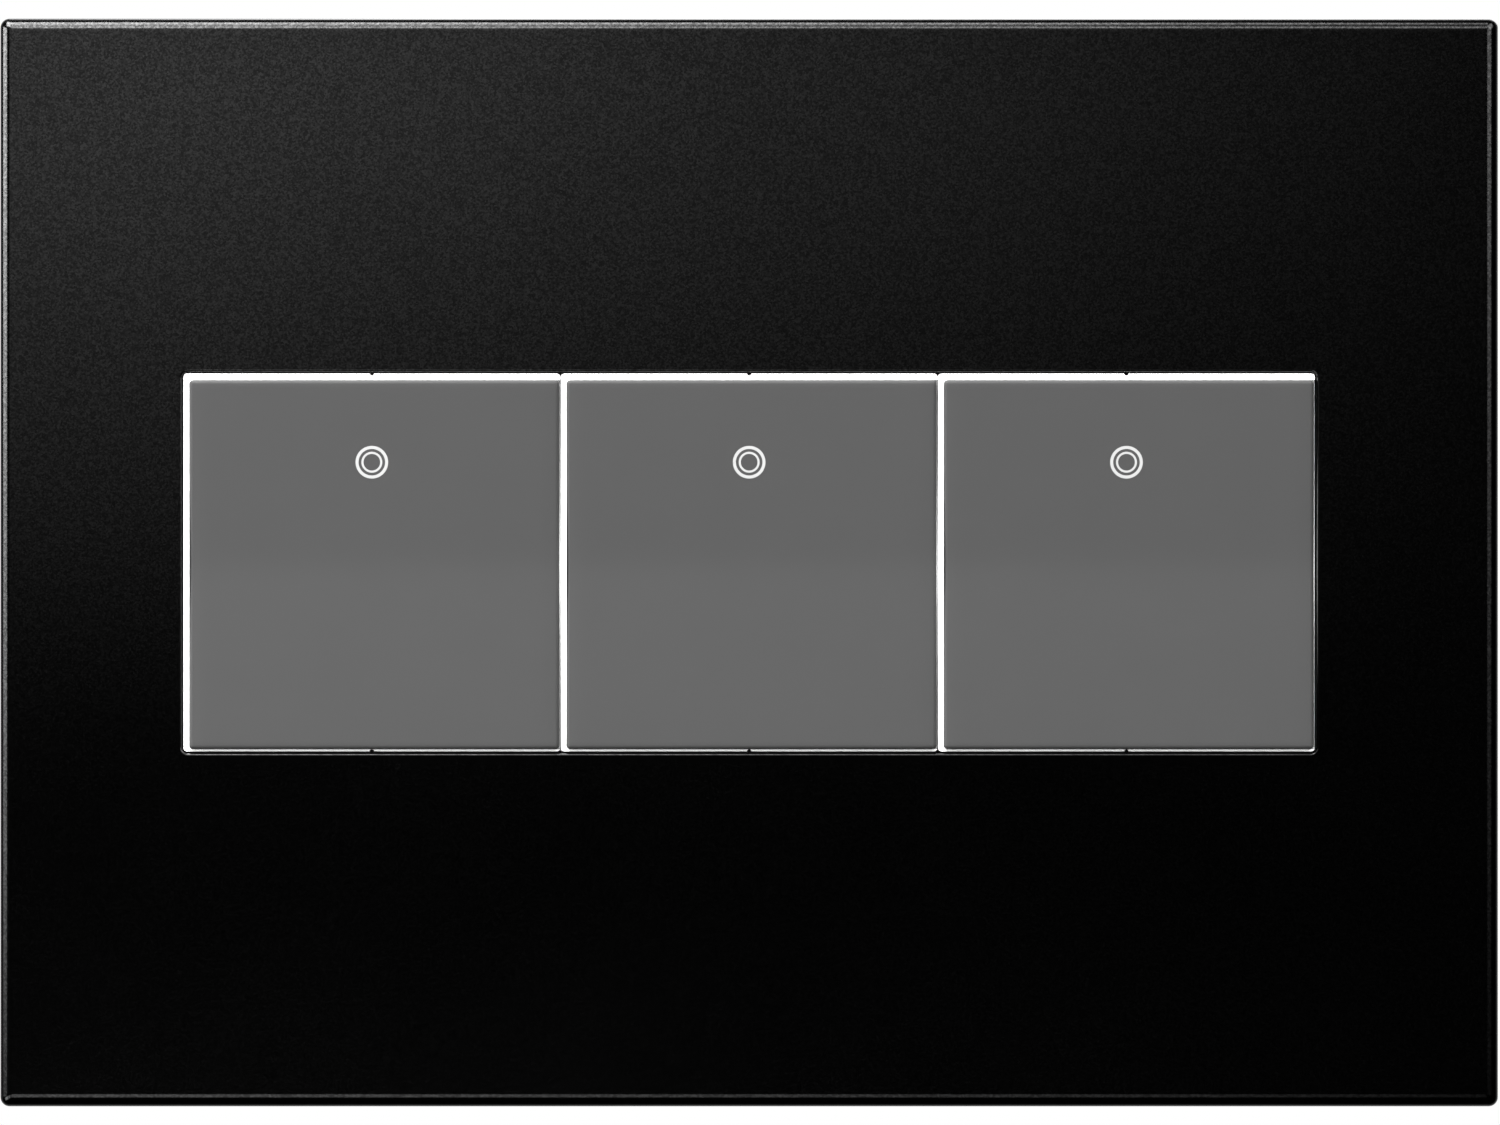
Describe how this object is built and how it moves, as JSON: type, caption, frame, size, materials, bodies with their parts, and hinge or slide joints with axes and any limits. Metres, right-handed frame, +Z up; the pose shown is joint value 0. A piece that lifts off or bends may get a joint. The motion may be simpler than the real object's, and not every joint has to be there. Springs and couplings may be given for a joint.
{
  "type": "wall plate cover",
  "caption": "Screwless satin black wall plate on a mounting frame, its window filled by square grey tap switches with white rims, ring indicators and deep rear housings.",
  "frame": {"origin": "centre of the wall box screw pattern, on the wall plane", "axes": "+X to the right as seen from the front, +Y into the wall, +Z up"},
  "size_m": [0.1794, 0.044, 0.1304],
  "materials": {
    "cover_black": "satin black with a fine metallic fleck",
    "carrier_black": "fine moulded texture",
    "tap_grey": "satin moulded",
    "rim_white": "smooth moulded white",
    "lens_white": "translucent white light ring",
    "frame_grey": "glass-filled moulding, light grey",
    "module_grey": "fine moulded texture",
    "housing_black": "fine moulded texture",
    "zinc_steel": "zinc plated",
    "spring_steel": "drawn wire",
    "clamp_brass": "stamped brass",
    "ground_green": "green dyed screw",
    "board_green": "solder mask",
    "switch_black": "moulded",
    "relay_case": "moulded",
    "led_clear": "clear epoxy",
    "guide_clear": "clear acrylic",
    "plunger_ivory": "acetal"
  },
  "bodies": {
    "wall_frame": {"mounting_frame": "frame_grey", "box_screws": "zinc_steel", "ground_screws": "ground_green", "module_frame_left": "module_grey", "module_frame_middle": "module_grey", "module_frame_right": "module_grey", "hinge_pin_left": "zinc_steel", "hinge_pin_middle": "zinc_steel", "hinge_pin_right": "zinc_steel", "return_springs_left": "spring_steel", "return_springs_middle": "spring_steel", "return_springs_right": "spring_steel", "push_switch_left": "switch_black", "push_switch_middle": "switch_black", "push_switch_right": "switch_black", "circuit_board_left": "board_green", "circuit_board_middle": "board_green", "circuit_board_right": "board_green", "power_relay_left": "relay_case", "power_relay_middle": "relay_case", "power_relay_right": "relay_case", "indicator_led_left": "led_clear", "indicator_led_middle": "led_clear", "indicator_led_right": "led_clear", "light_guide_left": "guide_clear", "light_guide_middle": "guide_clear", "light_guide_right": "guide_clear", "rear_housing_left": "housing_black", "rear_housing_middle": "housing_black", "rear_housing_right": "housing_black", "housing_screws_left": "zinc_steel", "housing_screws_middle": "zinc_steel", "housing_screws_right": "zinc_steel", "terminal_clamps_left": "clamp_brass", "terminal_clamps_middle": "clamp_brass", "terminal_clamps_right": "clamp_brass", "terminal_screws_left": "clamp_brass", "terminal_screws_middle": "clamp_brass", "terminal_screws_right": "clamp_brass"},
    "cover": {"face_plate": "cover_black", "plate_carrier": "carrier_black"},
    "tap_left": {"tap_plate_left": "tap_grey", "paddle_left": "rim_white", "ring_lenses_left": "lens_white"},
    "plunger_left": {"plunger_left": "plunger_ivory"},
    "tap_middle": {"tap_plate_middle": "tap_grey", "paddle_middle": "rim_white", "ring_lenses_middle": "lens_white"},
    "plunger_middle": {"plunger_middle": "plunger_ivory"},
    "tap_right": {"tap_plate_right": "tap_grey", "paddle_right": "rim_white", "ring_lenses_right": "lens_white"},
    "plunger_right": {"plunger_right": "plunger_ivory"}
  },
  "joints": [
    {"name": "cover_pull", "type": "slide", "parent": "wall_frame", "child": "cover", "axis": [0, -1, 0], "range_m": [0, 0.015]},
    {"name": "tap_left_hinge", "type": "hinge", "parent": "wall_frame", "child": "tap_left", "pos_m": [-0.04515, -0.0067, -0.0203], "axis": [-1, 0, 0], "range_deg": [0, 1.6], "stiffness_Nm_per_rad": 1.5, "springref_deg": -1.15, "deforming": ["return_springs_left"]},
    {"name": "plunger_left_slide", "type": "slide", "parent": "wall_frame", "child": "plunger_left", "axis": [0, 1, 0], "range_m": [0, 0.0007]},
    {"name": "tap_middle_hinge", "type": "hinge", "parent": "wall_frame", "child": "tap_middle", "pos_m": [0, -0.0067, -0.0203], "axis": [-1, 0, 0], "range_deg": [0, 1.6], "stiffness_Nm_per_rad": 1.5, "springref_deg": -1.15, "deforming": ["return_springs_middle"]},
    {"name": "plunger_middle_slide", "type": "slide", "parent": "wall_frame", "child": "plunger_middle", "axis": [0, 1, 0], "range_m": [0, 0.0007]},
    {"name": "tap_right_hinge", "type": "hinge", "parent": "wall_frame", "child": "tap_right", "pos_m": [0.04515, -0.0067, -0.0203], "axis": [-1, 0, 0], "range_deg": [0, 1.6], "stiffness_Nm_per_rad": 1.5, "springref_deg": -1.15, "deforming": ["return_springs_right"]},
    {"name": "plunger_right_slide", "type": "slide", "parent": "wall_frame", "child": "plunger_right", "axis": [0, 1, 0], "range_m": [0, 0.0007]}
  ],
  "couplings": [
    {"joint": "plunger_left_slide", "follows": "tap_left_hinge", "m_per_rad": 0.0243},
    {"joint": "plunger_middle_slide", "follows": "tap_middle_hinge", "m_per_rad": 0.0243},
    {"joint": "plunger_right_slide", "follows": "tap_right_hinge", "m_per_rad": 0.0243}
  ]
}
